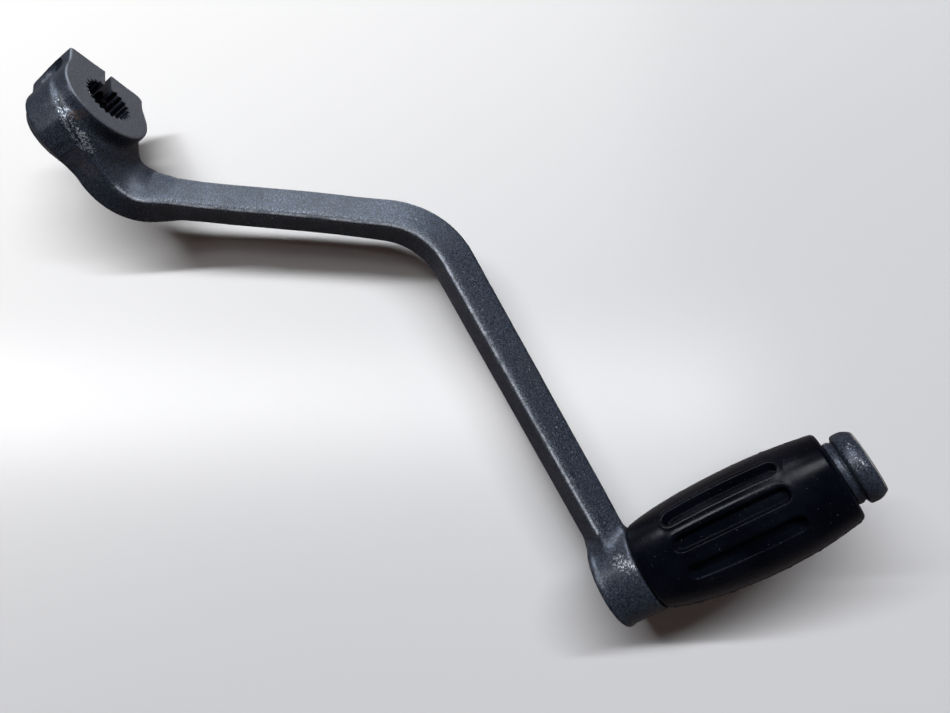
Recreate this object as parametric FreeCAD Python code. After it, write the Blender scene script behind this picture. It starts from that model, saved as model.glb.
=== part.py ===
import FreeCAD, Part
import math
import os

# Left-hand foot lever: a forged arm with a serrated clamp boss at one end and
# a peg (pin and grooved sleeve) at the other.  Origin: where the axis of the
# serrated bore meets the machined outer face of the boss.  +Y runs along the
# bore, outward from the engine; +X forward toward the peg; +Z up.  Millimetres.

Vector = FreeCAD.Vector
X_AXIS = Vector(1, 0, 0)
Y_AXIS = Vector(0, 1, 0)
Z_AXIS = Vector(0, 0, 1)
ORIGIN = Vector(0, 0, 0)

# ---------------------------------------------------------------- clamp boss
BOSS_DEPTH = 14.6            # turned face to the back of the forged body
HUB_HEIGHT = 4.6             # turned hub standing proud of the forged body
HUB_RADIUS = 10.9
BODY_RADIUS = 11.8
BODY_SHIFT = 1.0             # centre of the body outline, toward the bar side
BACK_BEVEL = 1.4             # bevel round the back rim of the body
BACK_HUB_RADIUS = 10.1       # low hub on the engine side
BACK_HUB_HEIGHT = 1.4
EAR_HALF_WIDTH = 9.8         # from the slit plane to an ear flank
EAR_REACH = 11.4             # from the bore axis to the ear end face
HUB_OVERLAP = 0.5            # how far each hub is sunk into the body

SLIT_TURN = 56.0             # turns the slit rearward and down (deg about Y)
SLIT_WIDTH = 1.8
BORE_ROOT_RADIUS = 6.0
BORE_TIP_RADIUS = 5.35
TOOTH_COUNT = 24
TOOTH_TIP_FILL = 0.50        # share of a pitch taken by the tooth at its tip
TOOTH_FOOT_FILL = 0.72       # share of a pitch taken by the tooth at its foot

BOLT_OFFSET = 7.1            # pinch bolt axis from the bore axis, toward the slit mouth
BOLT_Y = -6.4                # pinch bolt axis behind the turned face
BOLT_HOLE_LENGTH = 30.0      # drilled from the slit plane out past the flank
THREAD_CORE = 5.0            # M6 core diameter in the upper ear
CLEAR_HOLE = 6.2             # clearance diameter in the lower ear
MOUTH_RADIUS = 3.9           # countersunk mouth of the threaded hole
MOUTH_DEPTH = 1.4
MOUTH_OVERRUN = 0.1
EAR_CORNER_ACROSS = 1.2      # corner taken off the lower ear
EAR_CORNER_ALONG = 0.9

# The boss cutters run past both faces of the boss.
CUT_BACK = -BOSS_DEPTH - BACK_HUB_HEIGHT - 1.0
CUT_FRONT = 1.0

# ---------------------------------------------------------------- bar
PEG_X = 157.0                # peg axis ahead of the bore axis
BAR_ROOT = Vector(3.0, -8.6, 2.0)
BEND_OUT = Vector(20.7, -10.7, -0.5)     # corner where the bar swings outward
BEND_FORWARD = Vector(66.8, 48.2, -14.4) # corner where it runs forward again
BAR_END = Vector(PEG_X, 47.8, 0.0)
BEND_OUT_RADIUS = 13.0
BEND_OUT_STEPS = 7
BEND_FORWARD_RADIUS = 21.5
BEND_FORWARD_STEPS = 9

ROOT_NORMAL = Vector(0.0, 1.0, 0.0)          # broad-face normal at the boss
ARM_NORMAL = Vector(-0.205, 0.525, 0.826)    # broad-face normal after the twist
FRONT_ROLL = 9.0             # extra roll of the bar on its front run (deg)
BAR_THICKNESS = 7.9
ROOT_THINNING = 0.2          # thickness missing at the root
BAR_EDGE_RADIUS = 1.1

WAIST_WIDTH = 6.0            # narrowest width, behind the front run
ROOT_EXTRA_WIDTH = 13.0      # added at the root, gone at ROOT_TAPER_END
ROOT_TAPER_END = 32.0
FRONT_EXTRA_WIDTH = 2.3      # gained up to FRONT_START
FRONT_START = 100.0
FRONT_NARROWING = 1.5        # lost again over FRONT_TAPER_LENGTH
FRONT_TAPER_LENGTH = 80.0
NECK_FLARE = 2.6             # lower-edge width added round the neck
RUN_FLARE = 1.3              # lower-edge width added on the outward run
LOWER_SHIFT = 0.35           # section shifted toward the lower edge past the neck

# ---------------------------------------------------------------- end boss
EYE_RADIUS = 9.2
EYE_IN = 43.2                # inner face of the end boss
EYE_OUT = 52.6               # outer face, next to the sleeve
LIP_LENGTH = 1.2             # wider lip at the inner face
LIP_HEIGHT = 0.3
SOCKET_RADIUS = 4.5
SOCKET_OVERRUN = 5.0
BAR_TRIM = 20.0              # radius and length of the cutter beyond the outer face

# ---------------------------------------------------------------- peg pin
PIN_INSET = 0.4              # inner end of the pin inside the end boss face
CORE_RADIUS = 5.5
CORE_END = 95.6
COLLAR_RADIUS = 6.4
COLLAR_LENGTH = 1.5
HEAD_START = CORE_END + COLLAR_LENGTH
HEAD_END = 101.5
HEAD_RADIUS = 7.3
HEAD_FACE_RADIUS = 5.7

# ---------------------------------------------------------------- sleeve
SLEEVE_END_GAP = 0.2         # from the end boss, and from the pin collar
SLEEVE_START = EYE_OUT + SLEEVE_END_GAP
SLEEVE_END = CORE_END - SLEEVE_END_GAP
SLEEVE_MIDDLE = (SLEEVE_START + SLEEVE_END) / 2.0
SLEEVE_BORE_RADIUS = CORE_RADIUS + 0.05      # running clearance on the pin
SLEEVE_START_RADIUS = 9.2
SLEEVE_MAX_RADIUS = 11.3
SLEEVE_END_RADIUS = 8.7
SLEEVE_BEVEL = 0.6

GROOVE_WIDTH = 3.4
GROOVE_DEPTH = 1.7
GROOVE_LENGTH = 26.0
GROOVE_SIDES = (83.5, 263.5) # first groove of each set, deg from +X toward +Z
GROOVES_PER_SIDE = 3
GROOVE_PITCH = 32.5          # degrees


# ---------------------------------------------------------------- helpers
def y_cylinder(radius, y_start, y_end, x=0.0, z=0.0):
    return Part.makeCylinder(radius, y_end - y_start, Vector(x, y_start, z), Y_AXIS)


def block(low, high):
    """Box between its lowest and highest corners."""
    size = [top - bottom for bottom, top in zip(low, high)]
    return Part.makeBox(*size, Vector(*low))


def unit(vector):
    return Vector(vector).normalize()


def spun(wire):
    """Solid of revolution about Y from a closed wire in the XY plane."""
    return Part.Face(wire).revolve(ORIGIN, Y_AXIS, 360.0)


def ramp(distance, start, end):
    """Smooth rise from 0 at start to 1 at end."""
    share = max(0.0, min(1.0, (distance - start) / (end - start)))
    return share * share * (3.0 - 2.0 * share)


def bell(distance, centre, spread):
    return math.exp(-((distance - centre) / spread) ** 2)


# ---------------------------------------------------------------- bar
# A station is a point on the bar's centre path and the unit tangent there.
# "distance" is the running length from the root.
def bend_stations(before, corner, after, radius, steps):
    """Stations round the arc that replaces a corner of the path."""
    tangent_in = unit(corner - before)
    tangent_out = unit(after - corner)
    half_turn = math.acos(max(-1.0, min(1.0, tangent_in.dot(tangent_out)))) / 2.0
    axis = unit(tangent_in.cross(tangent_out))
    start = corner - tangent_in * (radius * math.tan(half_turn))
    centre = start + unit(axis.cross(tangent_in)) * radius
    stations = []
    for i in range(steps + 1):
        angle = 2.0 * half_turn * i / steps
        rotation = FreeCAD.Rotation(axis, math.degrees(angle))
        stations.append((centre + rotation.multVec(start - centre),
                         rotation.multVec(tangent_in)))
    return stations


def straight_stations(start, end, shares):
    """Stations at the given shares of a straight run."""
    return [(start + (end - start) * share, unit(end - start)) for share in shares]


def bar_stations():
    bend_out = bend_stations(BAR_ROOT, BEND_OUT, BEND_FORWARD,
                             BEND_OUT_RADIUS, BEND_OUT_STEPS)
    bend_forward = bend_stations(BEND_OUT, BEND_FORWARD, BAR_END,
                                 BEND_FORWARD_RADIUS, BEND_FORWARD_STEPS)
    return (straight_stations(BAR_ROOT, bend_out[0][0], (0.0, 0.4, 0.8))
            + bend_out
            + straight_stations(bend_out[-1][0], bend_forward[0][0], (0.2, 0.4, 0.6, 0.8))
            + bend_forward
            + straight_stations(bend_forward[-1][0], BAR_END, (0.35, 0.7, 1.0)))


def bar_width(distance):
    """Width across the broad face, without the flare."""
    if distance < ROOT_TAPER_END:
        return WAIST_WIDTH + ROOT_EXTRA_WIDTH * (1.0 - distance / ROOT_TAPER_END) ** 1.25
    if distance < FRONT_START:
        return WAIST_WIDTH + FRONT_EXTRA_WIDTH * ramp(distance, 62.0, FRONT_START)
    taper = min(1.0, (distance - FRONT_START) / FRONT_TAPER_LENGTH)
    return WAIST_WIDTH + FRONT_EXTRA_WIDTH - FRONT_NARROWING * taper


def bar_flare(distance):
    """Extra width on the lower edge: the neck fillet and the outward run."""
    neck = NECK_FLARE * bell(distance, centre=16.5, spread=7.0)
    run = RUN_FLARE * ramp(distance, 14.0, 28.0) * (1.0 - ramp(distance, 60.0, 88.0))
    return neck + run


def bar_section(point, tangent, distance):
    """Rounded rectangle, its thickness along the broad-face normal."""
    flare = bar_flare(distance)
    half_width = (bar_width(distance) + flare) / 2.0
    half_thick = (BAR_THICKNESS - ROOT_THINNING * max(0.0, 1.0 - distance / 30.0)) / 2.0
    shift = flare / 2.0 + LOWER_SHIFT * bell(distance, centre=29.0, spread=8.0)
    roll = math.radians(FRONT_ROLL * ramp(distance, 72.0, FRONT_START))
    twist = ramp(distance, 6.0, 36.0)

    # "across" points toward the lower edge of the bar
    along = unit(tangent)
    normal = ROOT_NORMAL * (1.0 - twist) + ARM_NORMAL * twist
    normal = unit(normal - along * normal.dot(along))
    across = unit(normal.cross(along))
    normal = unit(normal * math.cos(roll) + across * math.sin(roll))
    across = unit(normal.cross(along))
    centre = point + across * shift

    def at(width_offset, thick_offset):
        return centre + across * width_offset + normal * thick_offset

    edge = BAR_EDGE_RADIUS
    arc_inset = edge * (1.0 - math.sqrt(0.5))
    segments = []
    previous = at(half_width, edge - half_thick)
    for side, face in ((1, 1), (-1, 1), (-1, -1), (1, -1)):
        start = at(side * half_width, face * (half_thick - edge))
        middle = at(side * (half_width - arc_inset), face * (half_thick - arc_inset))
        end = at(side * (half_width - edge), face * half_thick)
        if side != face:
            start, end = end, start
        segments.append(Part.makeLine(previous, start))
        segments.append(Part.Arc(start, middle, end).toShape())
        previous = end
    return Part.Wire(segments)


def make_bar():
    sections = []
    distance = 0.0
    previous = BAR_ROOT
    for point, tangent in bar_stations():
        distance += (point - previous).Length
        sections.append(bar_section(point, tangent, distance))
        previous = point
    return Part.makeLoft(sections, True, True)


# ---------------------------------------------------------------- clamp boss
# Boss and cutters are drawn with the slit opening toward local -Z, where the
# upper ear lies on -X and the lower ear on +X, then turned about the bore.
def turned(shape):
    placement = FreeCAD.Placement(ORIGIN, FreeCAD.Rotation(Y_AXIS, SLIT_TURN))
    result = shape.copy()
    result.Placement = placement.multiply(result.Placement)
    return result


def make_boss():
    body = y_cylinder(BODY_RADIUS, -BOSS_DEPTH, -HUB_HEIGHT, z=BODY_SHIFT)
    body = body.fuse(block((-EAR_HALF_WIDTH, -BOSS_DEPTH, -EAR_REACH),
                           (EAR_HALF_WIDTH, 0.0, 0.0)))

    # The envelope bevels the round back rim and leaves the ears square.
    spread = 6.0
    envelope = Part.makeCone(BODY_RADIUS - BACK_BEVEL, BODY_RADIUS + spread,
                             BACK_BEVEL + spread,
                             Vector(0, -BOSS_DEPTH, BODY_SHIFT), Y_AXIS)
    envelope = envelope.fuse(block((-EAR_HALF_WIDTH, -BOSS_DEPTH, -EAR_REACH - 1.0),
                                   (EAR_HALF_WIDTH, BACK_BEVEL + spread - BOSS_DEPTH, 0.0)))
    envelope = envelope.fuse(y_cylinder(BODY_RADIUS + 5.0, -BOSS_DEPTH + BACK_BEVEL + 4.0,
                                        1.0, z=BODY_SHIFT))
    body = body.common(envelope)

    hub = y_cylinder(HUB_RADIUS, -HUB_HEIGHT - HUB_OVERLAP, 0.0)
    back_hub = y_cylinder(BACK_HUB_RADIUS, -BOSS_DEPTH - BACK_HUB_HEIGHT,
                          -BOSS_DEPTH + HUB_OVERLAP)
    return body.fuse(hub).fuse(back_hub).removeSplitter()


def through_cutter(face):
    """Extrude a face drawn at y = 0 right through the boss."""
    face.translate(Vector(0, CUT_BACK, 0))
    return face.extrude(Vector(0, CUT_FRONT - CUT_BACK, 0))


def serrated_bore():
    """Round root bore with the teeth left standing."""
    pitch = 360.0 / TOOTH_COUNT
    half_tip = pitch * TOOTH_TIP_FILL / 2.0
    half_foot = pitch * TOOTH_FOOT_FILL / 2.0
    corners = []     # (radius, angle from +Z toward +X)
    for i in range(TOOTH_COUNT):
        middle = i * pitch
        corners += [(BORE_ROOT_RADIUS, middle - half_foot),
                    (BORE_TIP_RADIUS, middle - half_tip),
                    (BORE_TIP_RADIUS, middle + half_tip),
                    (BORE_ROOT_RADIUS, middle + half_foot)]
    first_radius, first_angle = corners[0]
    corners.append((first_radius, first_angle + 360.0))

    def at(radius, angle):
        return Vector(radius * math.sin(math.radians(angle)), 0.0,
                      radius * math.cos(math.radians(angle)))

    edges = []
    for (radius, angle), (next_radius, next_angle) in zip(corners, corners[1:]):
        start, end = at(radius, angle), at(next_radius, next_angle)
        if radius == next_radius:
            middle = at(radius, (angle + next_angle) / 2.0)
            edges.append(Part.Arc(start, middle, end).toShape())
        else:
            edges.append(Part.makeLine(start, end))
    return through_cutter(Part.Face(Part.Wire(edges)))


def ear_corner():
    """Cutter for the outer corner of the lower ear."""
    corner_x = EAR_HALF_WIDTH - EAR_CORNER_ACROSS
    corner_z = -EAR_REACH + EAR_CORNER_ALONG
    outside_x = EAR_HALF_WIDTH + 2.0
    outside_z = -EAR_REACH - 2.0
    outline = [Vector(x, 0, z) for x, z in (
        (corner_x, -EAR_REACH), (EAR_HALF_WIDTH, corner_z), (outside_x, corner_z),
        (outside_x, outside_z), (corner_x, outside_z))]
    return through_cutter(Part.Face(Part.makePolygon(outline + outline[:1])))


def boss_cutters():
    slit = block((-SLIT_WIDTH / 2.0, CUT_BACK, -EAR_REACH - 6.0),
                 (SLIT_WIDTH / 2.0, CUT_FRONT, 0.0))
    thread = Part.makeCylinder(THREAD_CORE / 2.0, BOLT_HOLE_LENGTH,
                               Vector(-BOLT_HOLE_LENGTH, BOLT_Y, -BOLT_OFFSET), X_AXIS)
    clearance = Part.makeCylinder(CLEAR_HOLE / 2.0, BOLT_HOLE_LENGTH,
                                  Vector(0.0, BOLT_Y, -BOLT_OFFSET), X_AXIS)
    mouth = Part.makeCone(THREAD_CORE / 2.0, MOUTH_RADIUS + MOUTH_OVERRUN,
                          MOUTH_DEPTH + MOUTH_OVERRUN,
                          Vector(-EAR_HALF_WIDTH + MOUTH_DEPTH, BOLT_Y, -BOLT_OFFSET),
                          -X_AXIS)
    return serrated_bore().fuse(slit).fuse([thread, clearance, mouth, ear_corner()])


# ---------------------------------------------------------------- whole lever
def make_lever():
    eye = y_cylinder(EYE_RADIUS, EYE_IN + LIP_LENGTH, EYE_OUT, PEG_X)
    eye = eye.fuse(y_cylinder(EYE_RADIUS + LIP_HEIGHT, EYE_IN, EYE_IN + LIP_LENGTH, PEG_X))
    bar = make_bar().cut(y_cylinder(BAR_TRIM, EYE_OUT, EYE_OUT + BAR_TRIM, PEG_X))
    lever = turned(make_boss()).fuse(bar).fuse(eye)
    lever = lever.cut(turned(boss_cutters()))
    lever = lever.cut(y_cylinder(SOCKET_RADIUS, EYE_IN - SOCKET_OVERRUN,
                                 EYE_OUT + SOCKET_OVERRUN, PEG_X))
    return lever.removeSplitter()


# ---------------------------------------------------------------- peg pin
def make_pin():
    profile = [Vector(radius, y, 0) for radius, y in (
        (0, EYE_IN + PIN_INSET),
        (SOCKET_RADIUS, EYE_IN + PIN_INSET),
        (SOCKET_RADIUS, EYE_OUT),
        (CORE_RADIUS, EYE_OUT),
        (CORE_RADIUS, CORE_END),
        (COLLAR_RADIUS, CORE_END),
        (COLLAR_RADIUS, HEAD_START),
        # head: bevelled inner rim, then two slopes down to the end face
        (HEAD_RADIUS - 0.6, HEAD_START),
        (HEAD_RADIUS, HEAD_START + 0.7),
        (HEAD_RADIUS, HEAD_END - 2.2),
        (HEAD_RADIUS - 0.45, HEAD_END - 1.0),
        (HEAD_FACE_RADIUS, HEAD_END),
        (0, HEAD_END),
    )]
    pin = spun(Part.makePolygon(profile + profile[:1]))
    pin.translate(Vector(PEG_X, 0, 0))
    return pin


# ---------------------------------------------------------------- sleeve
def sleeve_blank():
    """Barrel-shaped sleeve about the Y axis, before the grooves."""
    barrel = [Vector(radius, y, 0) for radius, y in (
        (SLEEVE_START_RADIUS, SLEEVE_START + SLEEVE_BEVEL),
        (SLEEVE_START_RADIUS + 1.3, SLEEVE_START + 6.0),
        (SLEEVE_MAX_RADIUS, SLEEVE_MIDDLE + 1.0),
        (SLEEVE_END_RADIUS + 1.5, SLEEVE_END - 6.0),
        (SLEEVE_END_RADIUS, SLEEVE_END - SLEEVE_BEVEL),
    )]
    curve = Part.BSplineCurve()
    curve.interpolate(barrel)
    bore_start = Vector(SLEEVE_BORE_RADIUS, SLEEVE_START, 0)
    bore_end = Vector(SLEEVE_BORE_RADIUS, SLEEVE_END, 0)
    rim_start = Vector(SLEEVE_START_RADIUS - SLEEVE_BEVEL, SLEEVE_START, 0)
    rim_end = Vector(SLEEVE_END_RADIUS - SLEEVE_BEVEL, SLEEVE_END, 0)
    return spun(Part.Wire([
        Part.makeLine(bore_start, rim_start),
        Part.makeLine(rim_start, barrel[0]),
        curve.toShape(),
        Part.makeLine(barrel[-1], rim_end),
        Part.makeLine(rim_end, bore_end),
        Part.makeLine(bore_end, bore_start),
    ]))


def groove_cutter(angle):
    """Round-ended slot cutter; the angle counts from +X toward +Z."""
    half_width = GROOVE_WIDTH / 2.0
    half_run = GROOVE_LENGTH / 2.0 - half_width
    floor = SLEEVE_MAX_RADIUS - GROOVE_DEPTH
    top = SLEEVE_MAX_RADIUS + 4.0
    ends = (SLEEVE_MIDDLE - half_run, SLEEVE_MIDDLE + half_run)
    slot = block((-half_width, ends[0], floor), (half_width, ends[1], top))
    for y in ends:
        slot = slot.fuse(Part.makeCylinder(half_width, top - floor,
                                           Vector(0, y, floor), Z_AXIS))
    slot = slot.removeSplitter()
    # the slot is drawn on +Z, which is 90 degrees
    slot.rotate(ORIGIN, Y_AXIS, -(angle - 90.0))
    return slot


def make_sleeve():
    sleeve = sleeve_blank()
    for first_angle in GROOVE_SIDES:
        for i in range(GROOVES_PER_SIDE):
            sleeve = sleeve.cut(groove_cutter(first_angle + i * GROOVE_PITCH))
    sleeve.translate(Vector(PEG_X, 0, 0))
    return sleeve


# ---------------------------------------------------------------- export
def export(name, shape):
    assert len(shape.Solids) == 1, name
    solid = shape.Solids[0]
    # a revolved profile can come out inside out
    if solid.Volume < 0:
        solid.reverse()
    assert solid.isValid(), name
    solid.exportStep("parts/" + name + ".step")


os.makedirs("parts", exist_ok=True)
export("lever_arm", make_lever())
export("peg_pin", make_pin())
export("peg_sleeve", make_sleeve())
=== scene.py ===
# A forged lever: a slit clamp boss, a bent flat bar, and an eye that carries a peg in a
# rubber sleeve. Shapes are worked out in millimetres in the CAD frame and scaled by MM.
# The boss bore lies on the Y axis, its turned face at Y = 0 and its body toward -Y. The bar
# runs toward +X, and the peg points to +Y on an axis at X = PEG_X, Z = 0.
import math
from collections import namedtuple

import bmesh
import bpy
import numpy as np
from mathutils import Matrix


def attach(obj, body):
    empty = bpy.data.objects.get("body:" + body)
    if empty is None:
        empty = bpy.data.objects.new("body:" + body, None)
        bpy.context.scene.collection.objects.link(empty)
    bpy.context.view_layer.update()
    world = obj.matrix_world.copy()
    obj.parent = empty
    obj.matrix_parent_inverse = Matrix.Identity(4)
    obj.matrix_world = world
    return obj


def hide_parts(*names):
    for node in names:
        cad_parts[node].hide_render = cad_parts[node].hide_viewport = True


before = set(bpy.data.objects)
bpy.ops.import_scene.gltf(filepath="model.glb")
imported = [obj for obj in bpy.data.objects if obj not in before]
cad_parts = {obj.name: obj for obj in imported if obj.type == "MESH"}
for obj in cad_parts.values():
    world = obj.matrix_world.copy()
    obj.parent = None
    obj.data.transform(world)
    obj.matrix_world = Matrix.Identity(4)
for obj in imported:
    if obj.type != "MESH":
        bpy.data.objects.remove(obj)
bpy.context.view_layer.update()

import openvdb
from mathutils import Matrix, Vector, noise

MM = 0.001

# ------------------------------------------------------------------ sizes (mm)
# Boss: a round body, a hub at the turned face, and two ears either side of the slit.
DEPTH = 14.6
HUB_H, HUB_R = 4.6, 10.9
BODY_R, BODY_SHIFT = 11.8, 1.0
BACK_R = 10.1
EAR_HALF, EAR_REACH, EAR_ROUND = 9.8, 11.4, 0.7
SLIT_HALF = 0.9
SLIT_TURN = math.radians(56.0)
# The boss frame is turned about Y: ACROSS the slit, and AWAY from the slit's mouth.
ACROSS = np.array([math.cos(SLIT_TURN), 0.0, -math.sin(SLIT_TURN)])
AWAY = np.array([math.sin(SLIT_TURN), 0.0, math.cos(SLIT_TURN)])
Y_AXIS = np.array([0.0, 1.0, 0.0])

# Toothed bore
TEETH, TOOTH_ROOT_R, TOOTH_TIP_R = 24, 6.0, 5.25

# Bolt hole across the ears, threaded in the ear on the -ACROSS side
BOLT_OFF, BOLT_Y = 7.1, -6.4
THREAD_R, THREAD_HEIGHT, THREAD_PITCH, THREAD_LENGTH = 2.5, 0.55, 1.0, 8.65
THREAD_STEP, THREAD_ROWS = 0.125, 69

# Peg axis, and the eye around it
PEG_X = 157.0
EYE_R, EYE_IN, EYE_OUT = 9.2, 43.2, 52.6

# Bar: corner points of its centre line, and its thickness direction at root and arm
ROOT = np.array([3.0, -8.6, 2.0])
CORNER_OUT = np.array([20.7, -10.7, -0.5])
CORNER_FORWARD = np.array([66.8, 48.2, -14.4])
BAR_END = np.array([PEG_X, 47.8, 0.0])
BEND_OUT_R, BEND_FORWARD_R = 13.0, 21.5
BAR_T, BAR_ROUND = 7.9, 0.85
FACE_ROOT = Y_AXIS
FACE_ARM = np.array([-0.205, 0.525, 0.826])
WAIST_W, ROOT_EXTRA_W, SWELL_W, END_LOSS_W = 6.0, 13.0, 2.3, 1.5
# Run along the bar at which its width changes
ROOT_TAPER_END, SWELL_START, SWELL_END, END_TAPER = 32.0, 62.0, 100.0, 80.0


# ------------------------------------------------------------------ helpers
def unit(v):
    v = np.asarray(v, float)
    return v / np.linalg.norm(v)


def ease(v):
    """Smooth step of v from 0 to 1."""
    v = np.clip(v, 0, 1)
    return v * v * (3 - 2 * v)


def bell(v):
    return np.exp(-v ** 2)


def lerp(a, b, k):
    return a * (1 - k) + b * k


def dot(a, b):
    return a[0] * b[0] + a[1] * b[1] + a[2] * b[2]


def shade_smooth(mesh, sharp_deg=None):
    mesh.polygons.foreach_set("use_smooth", [True] * len(mesh.polygons))
    if sharp_deg is not None:
        mesh.set_sharp_from_angle(angle=math.radians(sharp_deg))


def face_outward(mesh):
    bm = bmesh.new()
    bm.from_mesh(mesh)
    bmesh.ops.recalc_face_normals(bm, faces=bm.faces)
    bm.to_mesh(mesh)
    bm.free()


def mesh_object(name, verts, faces, smooth=True):
    mesh = bpy.data.meshes.new(name)
    mesh.from_pydata([tuple(v) for v in verts], [], [tuple(f) for f in faces])
    mesh.update()
    if smooth:
        shade_smooth(mesh)
    ob = bpy.data.objects.new(name, mesh)
    bpy.context.scene.collection.objects.link(ob)
    return ob


def coordinates(ob):
    co = np.empty(len(ob.data.vertices) * 3)
    ob.data.vertices.foreach_get("co", co)
    return co.reshape(-1, 3)


def ring_faces(rings, seg, closed=False):
    """Quads joining rings of seg vertices; closed joins the last ring to the first."""
    faces = []
    for i in range(rings if closed else rings - 1):
        here, following = i * seg, ((i + 1) % rings) * seg
        for j in range(seg):
            k = (j + 1) % seg
            faces.append((here + j, following + j, following + k, here + k))
    return faces


# ------------------------------------------------------------------ bar path
Bar = namedtuple("Bar", "points normal side width run")


def rounded_corner(before, corner, after, radius, steps):
    """Arc of (point, tangent) that rounds a corner of the centre line."""
    arriving, leaving = unit(corner - before), unit(after - corner)
    half = math.acos(max(-1, min(1, float(arriving @ leaving)))) / 2
    axis = unit(np.cross(arriving, leaving))
    start = corner - arriving * radius * math.tan(half)
    centre = start + unit(np.cross(axis, arriving)) * radius
    arc = []
    for i in range(steps + 1):
        turn = np.array(Matrix.Rotation(2 * half * i / steps, 3, Vector(axis)))
        arc.append((centre + turn @ (start - centre), turn @ arriving))
    return arc


def straight(a, b, steps):
    """Inner stations of the line a-b, without its ends."""
    tangent = unit(b - a)
    return [(a + (b - a) * (i / steps), tangent) for i in range(1, steps)]


def bar_path():
    """Stations of the bar: centre, thickness and width directions, width, and run in mm."""
    first = rounded_corner(ROOT, CORNER_OUT, CORNER_FORWARD, BEND_OUT_R, 16)
    second = rounded_corner(CORNER_OUT, CORNER_FORWARD, BAR_END, BEND_FORWARD_R, 20)
    stations = [(ROOT, unit(CORNER_OUT - ROOT))]
    stations += straight(ROOT, first[0][0], 5) + first
    stations += straight(first[-1][0], second[0][0], 9) + second
    stations += straight(second[-1][0], BAR_END, 14)
    stations.append((BAR_END, unit(BAR_END - stations[-1][0])))
    points = np.array([p for p, _ in stations])
    tangent = np.array([t for _, t in stations])
    steps = np.linalg.norm(np.diff(points, axis=0), axis=1)
    run = np.concatenate([[0], np.cumsum(steps)])

    # the thickness direction turns from the root's to the arm's, then rolls further
    normal = lerp(FACE_ROOT, FACE_ARM, ease((run - 6.0) / 30.0)[:, None])
    normal -= tangent * (normal * tangent).sum(1)[:, None]
    normal /= np.linalg.norm(normal, axis=1)[:, None]
    side = np.cross(normal, tangent)
    roll = np.radians(9.0) * ease((run - 72.0) / 28.0)[:, None]
    normal = normal * np.cos(roll) + side * np.sin(roll)
    side = np.cross(normal, tangent)

    # wide at the root, narrow at the waist, a swell, then a slow taper
    root = WAIST_W + ROOT_EXTRA_W * np.clip(1 - run / ROOT_TAPER_END, 0, 1) ** 1.25
    swell = WAIST_W + SWELL_W * ease((run - SWELL_START) / (SWELL_END - SWELL_START))
    taper = WAIST_W + SWELL_W - END_LOSS_W * np.clip((run - SWELL_END) / END_TAPER, 0, 1)
    width = np.where(run < ROOT_TAPER_END, root, np.where(run < SWELL_END, swell, taper))
    # one-sided flare at the first bend, fading along the straight
    flare = 2.6 * bell((run - 16.5) / 7.0)
    flare += 1.3 * ease((run - 14.0) / 14.0) * (1 - ease((run - 60.0) / 28.0))
    points = points + side * (flare / 2 + 0.35 * bell((run - 29.0) / 8.0))[:, None]
    return Bar(points, normal, side, width + flare, run)


# ------------------------------------------------------------------ distance fields
FIELD_LO = np.array([-18.5, -18.5, -26.0])
FIELD_HI = np.array([170.5, 56.5, 16.0])
FAR = 2.5       # the field is clipped to this distance
NO_BAR = 9.0    # stands for "far from the bar"


def smooth_min(a, b, k):
    """Union of two distances with a fillet of about k."""
    h = np.clip(0.5 + 0.5 * (b - a) / k, 0, 1)
    return b * (1 - h) + a * h - k * h * (1 - h)


def inside_or_out(a, b):
    outside = np.hypot(np.maximum(a, 0), np.maximum(b, 0))
    return outside + np.minimum(np.maximum(a, b), 0)


def rectangle(a, b, half_a, half_b):
    return inside_or_out(np.abs(a) - half_a, np.abs(b) - half_b)


def extrude(outline, height, round_r):
    """Solid from distances to an outline and to a slab, its edges rounded."""
    return inside_or_out(outline + round_r, height + round_r) - round_r


class Grid:
    """Sample points of the field."""

    def __init__(self, step):
        self.step = step
        self.shape = np.ceil((FIELD_HI - FIELD_LO) / step).astype(int) + 1
        self.axes = [(FIELD_LO[i] + step * np.arange(self.shape[i])).astype(np.float32)
                     for i in range(3)]

    def block(self, a, b, pad):
        """Index and coordinates of the samples in the box a-b grown by pad."""
        cells = []
        for i in range(3):
            low = max(0, int((a[i] - pad - FIELD_LO[i]) / self.step))
            high = min(self.shape[i], int((b[i] + pad - FIELD_LO[i]) / self.step) + 2)
            cells.append(slice(low, high))
        spans = [axis[span] for axis, span in zip(self.axes, cells)]
        return tuple(cells), np.meshgrid(*spans, indexing="ij")


def bar_field(grid, bar):
    field = np.full(grid.shape, NO_BAR, np.float32)
    for i in range(len(bar.points) - 1):
        start, end = bar.points[i], bar.points[i + 1]
        length = np.linalg.norm(end - start)
        tangent = (end - start) / length
        pad = max(bar.width[i], bar.width[i + 1]) / 2 + 4.5
        cells, xyz = grid.block(np.minimum(start, end), np.maximum(start, end), pad)
        rel = [xyz[j] - start[j] for j in range(3)]
        along = dot(rel, tangent)
        k = np.clip(along / length, 0, 1)
        normal = [lerp(bar.normal[i][j], bar.normal[i + 1][j], k) for j in range(3)]
        side = [lerp(bar.side[i][j], bar.side[i + 1][j], k) for j in range(3)]
        off = [rel[j] - tangent[j] * along for j in range(3)]
        half_w = lerp(bar.width[i], bar.width[i + 1], k) / 2
        dist = rectangle(dot(off, side), dot(off, normal),
                         half_w - BAR_ROUND, BAR_T / 2 - BAR_ROUND) - BAR_ROUND
        # each piece overlaps its neighbours a little and closes beyond that
        over = np.maximum(np.maximum(-along, along - length) - 0.7, 0)
        dist = np.where(over > 0, np.hypot(np.maximum(dist, 0), over), dist)
        field[cells] = np.minimum(field[cells], dist)
    return field


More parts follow.
